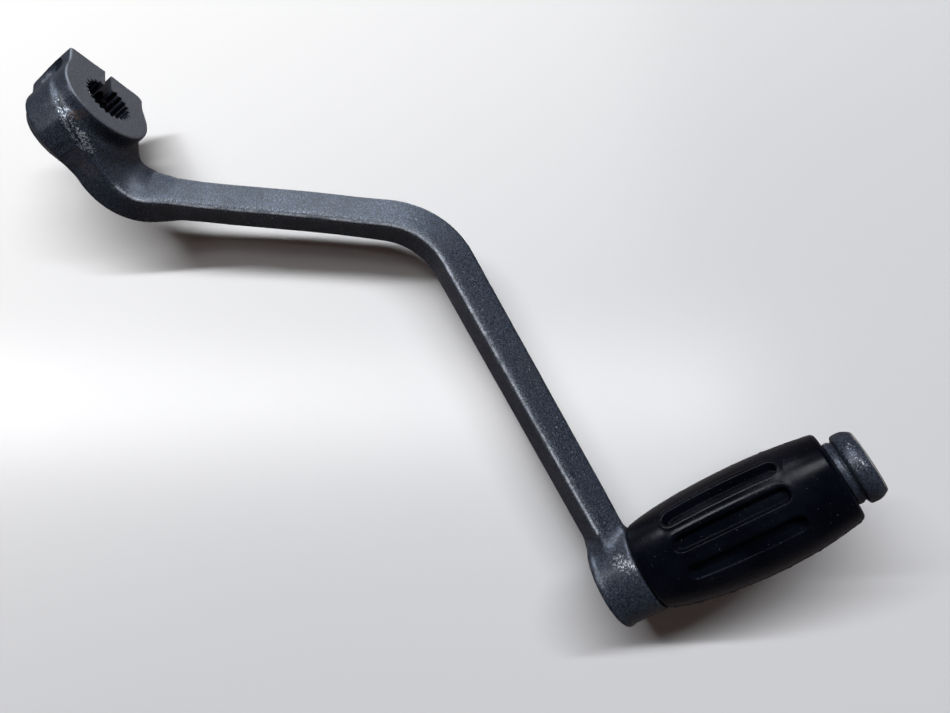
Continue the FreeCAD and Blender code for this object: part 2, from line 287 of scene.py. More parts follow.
def boss_with_bar(x, y, z, bar):
    across = x * ACROSS[0] + z * ACROSS[2]
    away = x * AWAY[0] + z * AWAY[2]
    bore_r = np.hypot(across, away)
    body_r = np.hypot(across, away - BODY_SHIFT)

    # the threaded ear swells a little round its hole
    swell = 0.62 * np.exp(-(((away + BOLT_OFF - 0.6) / 4.6) ** 2
                            + ((y - BOLT_Y) / 5.4) ** 2)) * (across < 0)
    ear = rectangle(across, away + EAR_REACH / 2 - 1.0, EAR_HALF - EAR_ROUND,
                    EAR_REACH / 2 + 1.0 - EAR_ROUND) - EAR_ROUND - swell
    # the corner of the ear on the +ACROSS side is cut back
    ear = np.maximum(ear, (across * 0.60 - away * 0.80) - 14.25)
    ears = extrude(ear, np.abs(y + DEPTH / 2) - DEPTH / 2, 0.45)

    middle = -(DEPTH + HUB_H) / 2
    draft = 0.05 * (y - middle)
    body = extrude(body_r - BODY_R + draft, np.abs(y - middle) - (DEPTH - HUB_H) / 2, 0.6)
    # bevel on the back rim
    body = np.maximum(body, ((body_r - BODY_R) * 0.75 - (y + DEPTH) * 0.66) + 1.0)
    # the ear flanks are flat, so the round body is trimmed back to them
    body = np.maximum(body, np.where(away < -5.2, np.abs(across) - EAR_HALF, -9.0))
    hub = extrude(bore_r - HUB_R, np.abs(y + HUB_H / 2 + 1.5) - (HUB_H / 2 + 1.5), 0.35)

    boss = smooth_min(body, hub, 1.6)
    boss = smooth_min(boss, ears, 1.2)
    solid = smooth_min(bar, boss, 3.2)
    # the joint fillet may not rise above the turned face, nor pass the back
    solid = np.maximum(solid, y)
    solid = np.maximum(solid, -(y + DEPTH + 0.6))
    back = extrude(bore_r - BACK_R, np.abs(y + DEPTH - 0.3) - 1.7, 0.3)
    return smooth_min(solid, back, 0.4)


def eye_with_bar(peg_r, y, bar):
    eye = extrude(peg_r - EYE_R,
                  np.abs(y - (EYE_IN + EYE_OUT) / 2) - (EYE_OUT - EYE_IN) / 2, 0.5)
    lip = extrude(peg_r - EYE_R - 0.35, np.abs(y - EYE_IN - 0.6) - 0.6, 0.45)
    eye = smooth_min(eye, lip, 0.5)
    return np.maximum(smooth_min(bar, eye, 2.2), y - EYE_OUT)


def forging(bar):
    """Bar, boss and eye joined as one field and meshed."""
    grid = Grid(0.33)
    field = np.full(grid.shape, FAR, np.float32)
    bar_only = bar_field(grid, bar)

    cells, (x, y, z) = grid.block((-16, -16, -16), (16, 1, 16), 2.5)
    field[cells] = np.minimum(field[cells], boss_with_bar(x, y, z, bar_only[cells]))
    beyond_boss = bar_only.copy()
    beyond_boss[cells] = NO_BAR
    field = np.minimum(field, beyond_boss)

    cells, (x, y, z) = grid.block((PEG_X - 10, EYE_IN, -10), (PEG_X + 10, EYE_OUT, 10), 3.0)
    peg_r = np.hypot(x - PEG_X, z)
    field[cells] = np.minimum(field[cells], eye_with_bar(peg_r, y, bar_only[cells]))
    # the bar stops inside the eye
    field[cells] = np.where((y > EYE_OUT) & (peg_r < 14),
                            np.maximum(field[cells], y - EYE_OUT), field[cells])

    volume = openvdb.FloatGrid(background=FAR)
    volume.copyFromArray(np.clip(field, -FAR, FAR).astype(np.float32))
    verts, tris, quads = volume.convertToPolygons(isovalue=0.0, adaptivity=0.0)
    faces = [tuple(int(i) for i in face[::-1]) for face in [*quads, *tris]]
    ob = mesh_object("lever_body", (np.asarray(verts) * grid.step + FIELD_LO) * MM, faces)
    relax = ob.modifiers.new("relax", "SMOOTH")
    relax.factor, relax.iterations = 0.5, 5
    return ob


# ------------------------------------------------------------------ boss cutters
def cutter(name, rings):
    """Closed solid through equal rings of points, its two ends capped."""
    seg, count = len(rings[0]), len(rings)
    faces = [(a, d, c, b) for a, b, c, d in ring_faces(count, seg)]
    faces += [range(seg)[::-1], range((count - 1) * seg, count * seg)]
    ob = mesh_object(name, np.concatenate(rings) * MM, faces, smooth=False)
    face_outward(ob.data)
    return ob


def through_cut(name, outline):
    """Outline of (across, away) pulled along Y right through the boss."""
    outline = np.asarray(outline)
    base = np.outer(outline[:, 0], ACROSS) + np.outer(outline[:, 1], AWAY)
    return cutter(name, [base + Y_AXIS * (-DEPTH - 4), base + Y_AXIS * 2.0])


def bolt_cut(name, profile, axis, seg, thread_end=-1.0):
    """Round cut on the bolt axis; profile is (along, radius), threaded from 0 to thread_end."""
    origin = Y_AXIS * BOLT_Y - AWAY * BOLT_OFF
    axis = unit(axis)
    first = unit(np.cross(axis, [0.3, 0.2, 0.9]))
    second = np.cross(axis, first)
    rings = []
    for along, plain_r in profile:
        ring = []
        for j in range(seg):
            angle = 2 * math.pi * j / seg
            r = plain_r
            if 0.0 <= along <= thread_end:
                phase = (along / THREAD_PITCH - j / seg) % 1.0
                r = plain_r + THREAD_HEIGHT * (1 - abs(2 * phase - 1))
            spoke = first * math.cos(angle) + second * math.sin(angle)
            ring.append(origin + axis * along + spoke * r)
        rings.append(ring)
    return cutter(name, rings)


def boss_cutters():
    # one tooth: (radius, place in tooth steps from its middle)
    tooth = ((TOOTH_ROOT_R, -0.42), (TOOTH_TIP_R, -0.11),
             (TOOTH_TIP_R, 0.11), (TOOTH_ROOT_R, 0.42))
    pitch = 2 * math.pi / TEETH
    bore = []
    for i in range(TEETH):
        for r, place in tooth:
            angle = 2 * math.pi * i / TEETH + place * pitch
            bore.append((r * math.sin(angle), r * math.cos(angle)))
    mouth = -EAR_REACH - 4
    slit = [(-SLIT_HALF, mouth), (SLIT_HALF, mouth), (SLIT_HALF, -3), (-SLIT_HALF, -3)]
    # (along the bolt, radius)
    threaded = [(-0.2, THREAD_R)]
    threaded += [(i * THREAD_STEP, THREAD_R) for i in range(THREAD_ROWS)]
    threaded += [(8.7, 2.9), (9.2, 3.35), (9.8, 3.85), (10.6, 4.1), (13.0, 4.4)]
    clear = [(-0.3, 3.1), (9.3, 3.1), (9.9, 3.6), (14, 3.8)]
    return [through_cut("cut_bore", bore),
            through_cut("cut_slit", slit),
            bolt_cut("cut_thread", threaded, -ACROSS, 96, THREAD_LENGTH),
            bolt_cut("cut_clear", clear, ACROSS, 64)]


def cut_all(ob, cutters):
    """Subtracts the cutters, applies every modifier and removes the cutters."""
    for tool in cutters:
        cut = ob.modifiers.new(tool.name, "BOOLEAN")
        cut.operation = "DIFFERENCE"
        cut.solver = "MANIFOLD"
        cut.object = tool
    bpy.context.view_layer.update()
    depsgraph = bpy.context.evaluated_depsgraph_get()
    mesh = bpy.data.meshes.new_from_object(ob.evaluated_get(depsgraph))
    old = ob.data
    ob.modifiers.clear()
    ob.data = mesh
    bpy.data.meshes.remove(old)
    for tool in cutters:
        mesh = tool.data
        bpy.data.objects.remove(tool)
        bpy.data.meshes.remove(mesh)


def store_edge_distance(ob, bar):
    """Stores each vertex's distance (mm, at most 3) from the bar's edge that carries the rubbed
    paint and the painted highlight.
    """
    inset = 0.25
    line = (bar.points + bar.normal * (BAR_T / 2 - inset)
            - bar.side * (bar.width / 2 - inset)[:, None])
    line = line[(bar.run > 17.0) & (bar.run < bar.run[-1] - 7.5)]
    co = coordinates(ob) / MM
    best = np.full(len(co), 3.0)
    for a, b in zip(line[:-1], line[1:]):
        near = np.all((co > np.minimum(a, b) - 3) & (co < np.maximum(a, b) + 3), axis=1)
        rel, span = co[near] - a, b - a
        t = np.clip(rel @ span / (span @ span), 0, 1)
        best[near] = np.minimum(best[near], np.linalg.norm(rel - t[:, None] * span, axis=1))
    attribute = ob.data.attributes.new("edge_mm", "FLOAT", "POINT")
    attribute.data.foreach_set("value", best.astype(np.float32))


bar = bar_path()
lever = forging(bar)
cut_all(lever, boss_cutters())
shade_smooth(lever.data, 32)
store_edge_distance(lever, bar)
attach(lever, "lever")
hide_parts("lever_arm")

# ------------------------------------------------------------------ peg pin
# (y, radius, corner rounding)
PIN_PROFILE = [
    (43.6, 3.9, 0), (43.6, 4.45, 0.3), (52.55, 4.45, 0), (EYE_OUT, 5.5, 0), (95.5, 5.5, 0.1),
    (95.6, 6.5, 0.25), (96.75, 6.5, 0.3), (97.0, 6.15, 0.15), (97.25, 6.3, 0.1),
    (97.6, 7.25, 0.5), (99.9, 7.3, 1.2), (101.5, 6.2, 0.35), (101.42, 5.2, 0.3),
    (101.25, 3.5, 0)]


def rounded(profile, steps):
    """Rounds the corners of a profile; returns (y, radius)."""
    out = []
    for i, (y, r, rounding) in enumerate(profile):
        if rounding <= 0 or i in (0, len(profile) - 1):
            out.append((y, r))
            continue
        corner = np.array([y, r])
        back = unit(np.array(profile[i - 1][:2]) - corner)
        ahead = unit(np.array(profile[i + 1][:2]) - corner)
        for k in range(steps + 1):
            t = k / steps
            out.append(corner + back * rounding * (1 - t) ** 2 + ahead * rounding * t ** 2)
    return out


def peg_pin():
    """Solid of revolution about the peg axis, slightly uneven."""
    seg, wobble = 144, 0.05
    profile = rounded(PIN_PROFILE, 7)
    verts = []
    for y, plain_r in profile:
        for j in range(seg):
            angle = 2 * math.pi * j / seg
            c, s = math.cos(angle), math.sin(angle)
            r = plain_r + wobble * noise.noise(Vector((y * 0.9, c * 2.2, s * 2.2)))
            verts.append((PEG_X + r * c, y, r * s))
    faces = ring_faces(len(profile), seg)
    last_ring = (len(profile) - 1) * seg
    inner_end, outer_end = len(verts), len(verts) + 1
    verts += [(PEG_X, profile[0][0], 0.0), (PEG_X, profile[-1][0], 0.0)]
    for j in range(seg):
        k = (j + 1) % seg
        faces += [(inner_end, j, k), (outer_end, last_ring + k, last_ring + j)]
    ob = mesh_object("peg_pin_turned", np.array(verts) * MM, faces)
    face_outward(ob.data)
    shade_smooth(ob.data, 38)
    return ob


pin = peg_pin()
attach(pin, "lever")
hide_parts("peg_pin")

# ------------------------------------------------------------------ sleeve
SLEEVE_Y0, SLEEVE_Y1, SLEEVE_BORE_R = 52.8, 95.4, 5.56
# (y, radius) of the barrel
SLEEVE_BARREL = np.array([
    (52.8, 9.15), (56.0, 9.85), (60.0, 10.5), (66.0, 11.0), (73.0, 11.25),
    (80.0, 11.1), (86.0, 10.6), (90.5, 10.0), (95.4, 9.15)])
ARC_R = 10.6    # radius at which angles are read as lengths
# Degrees from +X toward +Z
GROOVE_ANGLES = (83.5, 116.0, 148.5, 263.5, 296.0, 328.5)
GROOVE_Y, GROOVE_HALF, GROOVE_R, GROOVE_DEPTH = 73.8, 10.7, 1.38, 1.75
FLASH_ANGLES, PIP_YS = (26.0, 206.0), (59.5, 66.2, 78.4, 84.9)


def sleeve_radii(angle, y):
    """Outer radius on a grid of angles (columns) and y (rows)."""
    rows, ys = len(y), y[:, 0]

    def arc(from_angle):
        return ((angle - from_angle + math.pi) % (2 * math.pi) - math.pi) * ARC_R

    curve = np.polyfit((SLEEVE_BARREL[:, 0] - 74) / 21, SLEEVE_BARREL[:, 1], 5)
    base = np.polyval(curve, (ys - 74) / 21)
    for end, rounding in ((SLEEVE_Y0, 0.8), (SLEEVE_Y1, 0.9)):
        d = np.clip(1 - np.abs(ys - end) / rounding, 0, 1)
        base = base - rounding * (1 - np.sqrt(1 - d * d))
    radius = np.repeat(base[:, None], angle.shape[1], axis=1)
    # fuller on the side toward +X
    bulge = np.clip(1 - ((y - 74) / 21.3) ** 2, 0, 1)
    radius += 0.34 * bulge * np.cos(angle - math.radians(15))
    # long round-ended grooves, each with a soft lip
    for degrees in GROOVE_ANGLES:
        beyond = np.maximum(np.abs(y - GROOVE_Y) - GROOVE_HALF, 0)
        d = np.hypot(arc(math.radians(degrees)), beyond) - GROOVE_R
        radius -= GROOVE_DEPTH * ease(0.5 - d / 0.7)
        radius += 0.10 * bell((d - 0.85) / 0.45)
    # mould flash along both sides, with small pips
    for degrees in FLASH_ANGLES:
        off = arc(math.radians(degrees))
        uneven = np.array([noise.noise(Vector((v * 0.55, degrees, 0.0))) for v in ys])
        height = 0.12 + 0.10 * np.clip(uneven.reshape(rows, 1), 0, 1)
        clear_of_ends = np.minimum(y - SLEEVE_Y0, SLEEVE_Y1 - y) > 1.0
        radius += bell(off / 0.22) * height * clear_of_ends
        for pip_y in PIP_YS:
            radius += 0.10 * np.exp(-(off ** 2 + (y - pip_y) ** 2) / 0.16)
    # handling dents and unevenness
    dents = np.zeros_like(radius)
    rng = np.random.default_rng(7)
    for _ in range(26):
        at_angle = rng.uniform(0, 2 * math.pi)
        at_y = rng.uniform(SLEEVE_Y0 + 3, SLEEVE_Y1 - 3)
        spread = rng.uniform(0.8, 2.6)
        height = rng.uniform(-0.07, 0.05)
        dents += height * np.exp(-(arc(at_angle) ** 2 + (y - at_y) ** 2) / spread ** 2)
    return radius + dents


def sleeve():
    seg, rows = 720, 300
    length = SLEEVE_Y1 - SLEEVE_Y0
    t = np.linspace(0, 1, rows)
    # rows crowd toward the ends
    ys = SLEEVE_Y0 + length * (0.5 - 0.5 * np.cos(math.pi * t)) * 0.35 + length * t * 0.65
    angles = 2 * math.pi * np.arange(seg) / seg
    angle, y = np.meshgrid(angles, ys)
    radius = sleeve_radii(angle, y)
    outer = np.stack([PEG_X + radius * np.cos(angle), y, radius * np.sin(angle)], 2)

    def ring(at_y, r):
        return np.stack([PEG_X + r * np.cos(angles), np.full(seg, at_y),
                         r * np.sin(angles)], 1)

    end_r = SLEEVE_BORE_R + 1.6
    verts = np.concatenate([
        outer.reshape(-1, 3),
        ring(SLEEVE_Y1, end_r), ring(SLEEVE_Y1 - 0.05, SLEEVE_BORE_R),
        ring(SLEEVE_Y0 + 0.05, SLEEVE_BORE_R), ring(SLEEVE_Y0, end_r)])
    ob = mesh_object("peg_rubber", verts * MM, ring_faces(rows + 4, seg, closed=True))
    face_outward(ob.data)
    shade_smooth(ob.data, 50)
    return ob


rubber = sleeve()
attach(rubber, "sleeve")
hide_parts("peg_sleeve")


# ------------------------------------------------------------------ materials
class Shader:
    """A Principled material built up in layers; lengths in its nodes are metres."""

    def __init__(self, name):
        self.material = bpy.data.materials.new(name)
        self.material.use_nodes = True
        self.tree = self.material.node_tree
        self.tree.nodes.clear()
        self.output = self.add("OutputMaterial")
        self.surface = self.add("BsdfPrincipled")
        self.put(self.output.inputs[0], self.surface.outputs[0])
        self.place = self.add("TexCoord").outputs["Object"]
        self.colour = self.rough = self.metal = None

    def put(self, socket, value):
        """Sets a number or colour, or links another node's output; None leaves it alone."""
        if value is None:
            return
        if isinstance(value, (int, float)):
            socket.default_value = value
        elif isinstance(value, tuple):
            full = len(value) == len(socket.default_value)
            socket.default_value = value if full else value + (1.0,)
        else:
            self.tree.links.new(value, socket)

    def add(self, kind, inputs=None, **settings):
        node = self.tree.nodes.new("ShaderNode" + kind)
        for key, value in settings.items():
            setattr(node, key, value)
        for key, value in (inputs or {}).items():
            self.put(node.inputs[key], value)
        return node

    def noise(self, scale, detail, rough, output="Fac"):
        node = self.add("TexNoise", {"Scale": scale, "Detail": detail, "Roughness": rough,
                                     "Vector": self.place})
        return node.outputs[output]

    def ramp(self, value, over, to=(0.0, 1.0)):
        """Eases from to[0] to to[1] as value crosses the range over."""
        inputs = {0: value, 1: over[0], 2: over[1], 3: to[0], 4: to[1]}
        return self.add("MapRange", inputs, interpolation_type="SMOOTHSTEP").outputs[0]

    def math(self, operation, a, b):
        return self.add("Math", {0: a, 1: b}, operation=operation).outputs[0]

    def times(self, a, by):
        return self.math("MULTIPLY", a, by)

    def minus(self, a, less):
        return self.math("SUBTRACT", a, less)

    def larger(self, a, b):
        return self.math("MAXIMUM", a, b)

    def weighted(self, a, b, weights):
        return self.math("ADD", self.times(a, weights[0]), self.times(b, weights[1]))

    def vector(self, operation, a, b=None, output="Vector"):
        return self.add("VectorMath", {0: a, 1: b}, operation=operation).outputs[output]

    def separate(self):
        return self.add("SeparateXYZ", {0: self.place}).outputs

    def mix(self, factor, low, high):
        return self.add("Mix", {0: factor, 6: low, 7: high}, data_type="RGBA").outputs[2]

    def mix_value(self, factor, low, high):
        return self.add("Mix", {0: factor, 2: low, 3: high}, data_type="FLOAT").outputs[0]

    def bump(self, height, strength, dist, under=None):
        return self.add("Bump", {"Strength": strength, "Distance": dist, "Height": height,
                                 "Normal": under}).outputs[0]

    def near(self, point, full, gone):
        """1 within full of a point, easing to 0 at gone (all in mm)."""
        point = tuple(p * MM for p in point)
        dist = self.vector("DISTANCE", self.place, point, output="Value")
        return self.ramp(dist, over=(full * MM, gone * MM), to=(1.0, 0.0))

    def cover(self, mask, colour, amount=None, rough=None, metal=None):
        """Lays a colour, and maybe a roughness and metalness, over what is there."""
        if amount is not None:
            mask = self.times(mask, amount)
        self.colour = self.mix(mask, self.colour, colour)
        if rough is not None:
            self.rough = self.mix_value(mask, self.rough, rough)
        if metal is not None:
            self.metal = self.mix_value(mask, self.metal, metal)

    def dress(self, ob, normal, settings=None):
        """Wires the layers to the surface and gives the material to ob."""
        inputs = {"Base Color": self.colour, "Roughness": self.rough,
                  "Metallic": self.metal, "Normal": normal, **(settings or {})}
        for key, value in inputs.items():
            self.put(self.surface.inputs[key], value)
        ob.data.materials.clear()
        ob.data.materials.append(self.material)


COAT_SURFACE = {"Specular IOR Level": 0.42, "Coat Weight": 0.15, "Coat Roughness": 0.22}


def powder_coat(name, wear_points, ridge=0.0):
    """Speckled metallic coat, worn at points and, by ridge, at sharp edges.

    wear_points holds (x, y, z, full radius, fade radius, amount) in mm.
    Returns the shader and its normal.
    """
    coat = Shader(name)
    grain = coat.noise(scale=2600, detail=3, rough=0.65)
    glint_fleck = coat.noise(scale=5200, detail=2, rough=0.5)
    mottle = coat.noise(scale=140, detail=4, rough=0.6)
    broad = coat.noise(scale=22, detail=3, rough=0.5)
    flake = coat.ramp(grain, over=(0.40, 0.66))
    coat.colour = coat.mix(flake, low=(0.004, 0.0062, 0.0125), high=(0.074, 0.090, 0.128))
    coat.cover(coat.ramp(mottle, over=(0.35, 0.75), to=(0.0, 0.45)),
               colour=(0.016, 0.019, 0.028))
    # faint brown cast in broad random patches, a painted warm reflection
    coat.cover(coat.ramp(broad, over=(0.52, 0.70), to=(0.0, 0.20)),
               colour=(0.060, 0.044, 0.034))
    # bright flecks painted in as glints of the metallic powder
    coat.cover(coat.ramp(glint_fleck, over=(0.66, 0.74)), colour=(0.42, 0.44, 0.48), amount=0.45)
    coat.rough = coat.mix_value(coat.ramp(mottle, over=(0.3, 0.7)), low=0.36, high=0.50)
    coat.metal = coat.times(flake, by=0.50)
    height = coat.weighted(grain, coat.noise(scale=900, detail=2, rough=0.5),
                           weights=(0.6, 0.5))
    normal = coat.bump(height, strength=0.35, dist=0.00010)
    normal = coat.bump(coat.noise(scale=160, detail=3, rough=0.5),
                       strength=0.25, dist=0.0004, under=normal)

    wear = None
    for *point, full, gone, amount in wear_points:
        spot = coat.times(coat.near(point, full, gone), amount)
        wear = spot if wear is None else coat.larger(wear, spot)
    if ridge > 0:
        pointiness = coat.add("NewGeometry").outputs["Pointiness"]
        patchy = coat.ramp(coat.noise(scale=90, detail=4, rough=0.7),
                           over=(0.34, 0.60), to=(0.45, 1.0))
        sharp = coat.times(coat.ramp(pointiness, over=(0.525, 0.60)), patchy)
        wear = coat.larger(wear, coat.times(sharp, ridge))
    # the share worn through grows with the wear mask
    speck = coat.weighted(coat.noise(scale=2600, detail=4, rough=0.75),
                          coat.noise(scale=420, detail=3, rough=0.6), weights=(0.75, 0.25))
    threshold = coat.minus(0.72, less=coat.times(wear, by=0.21))
    mask = coat.ramp(coat.minus(speck, threshold), over=(0.0, 0.09))
    metal = coat.mix(coat.ramp(coat.noise(scale=3400, detail=3, rough=0.7), over=(0.36, 0.62)),
                     low=(0.17, 0.185, 0.22), high=(0.62, 0.64, 0.70))
    coat.cover(mask, metal, rough=0.33, metal=0.55)
    return coat, normal


# (x, y, z, full radius, fade radius, amount): the boss shoulder, then the eye
ARM_WEAR = [
    (-3.9, -3.6, 10.4, 0.4, 2.0, 0.60), (-1.7, -3.9, 11.0, 0.5, 2.2, 0.80),
    (0.3, -4.2, 11.4, 0.6, 2.4, 0.95), (2.4, -4.4, 11.8, 0.8, 2.6, 1.05),
    (4.5, -4.5, 11.9, 0.9, 2.8, 1.10), (6.5, -4.9, 11.3, 1.0, 2.7, 1.15),
    (8.4, -5.3, 10.5, 1.1, 2.8, 1.22), (10.1, -5.7, 9.6, 1.1, 2.8, 1.22),
    (11.6, -5.7, 8.5, 0.6, 2.3, 1.00),
    (149.4, 47.4, 5.4, 0.4, 2.4, 0.70), (150.8, 49.6, 6.8, 0.8, 3.4, 1.00),
    (152.4, 51.2, 7.9, 1.0, 3.6, 1.10), (154.8, 51.8, 8.6, 0.5, 2.8, 0.80)]
PIN_WEAR = [(154.5, 99.5, 6.8, 0.5, 3.2, 0.95), (151.5, 99.8, 4.6, 0.4, 2.6, 0.80)]
# RUST is a real rust spot on the hub; the brown patches near the first bend are a painted warm
# reflection of the shaded table
RUST, WARM_REFLECTION_BROWN = (0.12, 0.072, 0.045), (0.095, 0.062, 0.055)
# (centre, full radius, fade radius, noise scale, noise range, amount, colour)
STAINS_AND_REFLECTIONS = [
    ((4.9, -2.8, 10.1), 0.9, 2.6, 700, (0.40, 0.62), 0.55, RUST),
    ((11.3, -9.4, 9.2), 0.8, 3.4, 900, (0.42, 0.66), 0.5, WARM_REFLECTION_BROWN),
    ((14.6, -9.0, 7.8), 0.8, 3.0, 900, (0.42, 0.66), 0.5, WARM_REFLECTION_BROWN),
    ((24.0, -13.0, 1.5), 0.8, 3.0, 900, (0.42, 0.66), 0.5, WARM_REFLECTION_BROWN)]
# corners of the crack along the worn shoulder
CRACK = [(-1.5, -3.7, 10.9), (2.4, -4.3, 11.7), (6.2, -5.0, 11.4), (9.4, -5.9, 10.0)]


def segment_distance(coat, place, start, end):
    """Distance (m) from place to a segment whose ends are in mm."""
    start, end = Vector(start) * MM, Vector(end) * MM
    span = end - start
    rel = coat.vector("SUBTRACT", place, tuple(start))
    along = coat.vector("DOT_PRODUCT", rel, tuple(span), output="Value")
    share = coat.add("Clamp", {0: coat.math("DIVIDE", along, span.length_squared)}).outputs[0]
    foot = coat.add("VectorMath", {0: tuple(span), "Scale": share}, operation="SCALE")
    return coat.vector("LENGTH", coat.vector("SUBTRACT", rel, foot.outputs[0]),
                       output="Value")


def ridge_highlight_and_rub(coat):
    """A thin bright line painted along the bar's edge, partly rubbed paint and partly a painted
    highlight, with specks beside it.
    """
    edge = coat.add("Attribute", attribute_name="edge_mm").outputs["Fac"]
    ridge_line = coat.ramp(edge, over=(0.12, 0.48), to=(1.0, 0.0))
    spill = coat.times(coat.ramp(edge, over=(0.3, 2.0), to=(1.0, 0.0)),
                       coat.ramp(coat.noise(scale=2900, detail=3, rough=0.7),
                                 over=(0.53, 0.60)))
    ridge_line = coat.times(ridge_line, coat.ramp(coat.noise(scale=260, detail=4, rough=0.7),
                                    over=(0.30, 0.62), to=(0.30, 1.0)))
    ridge_line = coat.times(ridge_line, coat.ramp(coat.noise(scale=2300, detail=3, rough=0.7),
                                    over=(0.36, 0.60), to=(0.30, 1.0)))
    # painted highlight: the bright bluish line and specks along the ridge
    coat.cover(coat.larger(coat.times(ridge_line, by=0.85), coat.times(spill, by=0.28)),
               colour=(0.66, 0.71, 0.80))


def crack(coat):
    """A hairline crack in the coat, its line shaken by noise."""
    shake = coat.noise(scale=700, detail=2, rough=0.5, output="Color")
    offset = coat.add("VectorMath", {0: shake, 1: (0.0007,) * 3, 2: (-0.00035,) * 3},
                      operation="MULTIPLY_ADD").outputs[0]
    place = coat.vector("ADD", coat.place, offset)
    line = None
    for start, end in zip(CRACK[:-1], CRACK[1:]):
        dist = segment_distance(coat, place, start, end)
        line = dist if line is None else coat.math("MINIMUM", line, dist)
    coat.cover(coat.ramp(line, over=(0.00017, 0.00032), to=(1.0, 0.0)),
               colour=(0.004, 0.005, 0.008))


def paint_lever():
    coat, normal = powder_coat("speckled_powder_coat", ARM_WEAR, ridge=0.95)
    # the turned face is painted lighter and bluer than the forged skin
    axes = coat.separate()
    turned = coat.times(coat.ramp(axes["Y"], over=(-0.00035, -0.00010)),
                        coat.ramp(axes["X"], over=(0.0135, 0.0140), to=(1.0, 0.0)))
    turned_face_tone = coat.mix(coat.ramp(coat.noise(scale=1500, detail=4, rough=0.7), over=(0.35, 0.68)),
                    low=(0.085, 0.093, 0.112), high=(0.150, 0.158, 0.185))
    coat.cover(turned, turned_face_tone, amount=0.9)
    # real rust plus painted warm reflections, each in noisy patches
    for centre, full, gone, scale, over, amount, colour in STAINS_AND_REFLECTIONS:
        patchy = coat.ramp(coat.noise(scale, detail=4, rough=0.7), over)
        coat.cover(coat.times(coat.near(centre, full, gone), patchy), colour, amount)
    ridge_highlight_and_rub(coat)
    crack(coat)
    coat.dress(lever, normal, COAT_SURFACE)


def paint_pin():
    coat, normal = powder_coat("worn_pin_paint", PIN_WEAR)
    # bare metal beyond bare_y, with a ragged border
    bare_y, border = 101.20, 0.14
    y = coat.separate()["Y"]
    ragged = coat.minus(coat.noise(scale=420, detail=4, rough=0.6), less=0.5)
    shifted = coat.math("ADD", y, coat.times(ragged, by=0.0006))
    bare = coat.ramp(shifted, over=((bare_y - border) * MM, (bare_y + border) * MM))
    coat.cover(bare, colour=(0.62, 0.60, 0.57), rough=0.38, metal=0.8)
    coat.dress(pin, normal, COAT_SURFACE)


def mould_rubber():
    skin = Shader("moulded_rubber")
    fine = skin.noise(scale=1800, detail=3, rough=0.6)
    patch = skin.noise(scale=90, detail=4, rough=0.6)
    skin.colour = skin.mix(skin.ramp(patch, over=(0.35, 0.7)),
                           low=(0.0010, 0.0013, 0.0030), high=(0.0028, 0.0034, 0.0066))
    dust = skin.ramp(skin.noise(scale=2300, detail=2, rough=0.5), over=(0.70, 0.78))
    skin.cover(dust, colour=(0.16, 0.16, 0.16), amount=0.5)
    skin.rough = skin.mix_value(skin.ramp(patch, over=(0.3, 0.75)), low=0.20, high=0.32)
    normal = skin.bump(fine, strength=0.18, dist=0.00006)
    normal = skin.bump(skin.noise(scale=240, detail=3, rough=0.5),
                       strength=0.15, dist=0.0003, under=normal)
    skin.dress(rubber, normal, {"Specular IOR Level": 0.20})


paint_lever()
paint_pin()
mould_rubber()

# ------------------------------------------------------------------ camera
# Rows are the camera's right, up and backward axes; the product makes them exactly square.
left, _, right = np.linalg.svd(np.array([
    [0.5259, 0.8102, -0.2588], [-0.8503, 0.5079, -0.1381], [0.0196, 0.2927, 0.9560]]))
VIEW = left @ right
VIEW_SHIFT = np.array([-88.10, 61.72, -171.80])    # CAD origin seen from the camera, mm


def add_camera():
    data = bpy.data.cameras.new("camera")
    data.sensor_width = 36.0
    data.lens = 27.06
    data.clip_start, data.clip_end = 0.01, 20
    camera = bpy.data.objects.new("camera", data)
    bpy.context.scene.collection.objects.link(camera)
    matrix = Matrix(VIEW.T.tolist()).to_4x4()
    matrix.translation = Vector(-(VIEW.T @ VIEW_SHIFT) * MM)
    camera.matrix_world = matrix
    bpy.context.scene.camera = camera


add_camera()

# ------------------------------------------------------------------ table (metres)
TABLE_UP = unit([-0.1615, 0.2898, 0.9434])
TABLE_HALF, TABLE_CELLS, TABLE_GAP = 3.0, 24, 0.00002


def contact_point():
    """Lowest point of the product above the table."""
    lows = []
    for ob in (lever, pin, rubber):
        co = coordinates(ob)
        lows.append(co[np.argmin(co @ TABLE_UP)])
    return min(lows, key=lambda point: point @ TABLE_UP)


def table(contact):
    first = unit(np.cross(TABLE_UP, [0.0, 1.0, 0.3]))
    second = np.cross(TABLE_UP, first)
    lines = [(i / TABLE_CELLS - 0.5) * 2 * TABLE_HALF for i in range(TABLE_CELLS + 1)]
    verts = [contact - TABLE_UP * TABLE_GAP + first * a + second * b
             for a in lines for b in lines]
    row = TABLE_CELLS + 1
    corners = [i * row + j for i in range(TABLE_CELLS) for j in range(TABLE_CELLS)]
    ob = mesh_object("table", verts, [(k, k + 1, k + row + 1, k + row) for k in corners])
    ob.data.flip_normals()    # the quads wind downward
    return ob


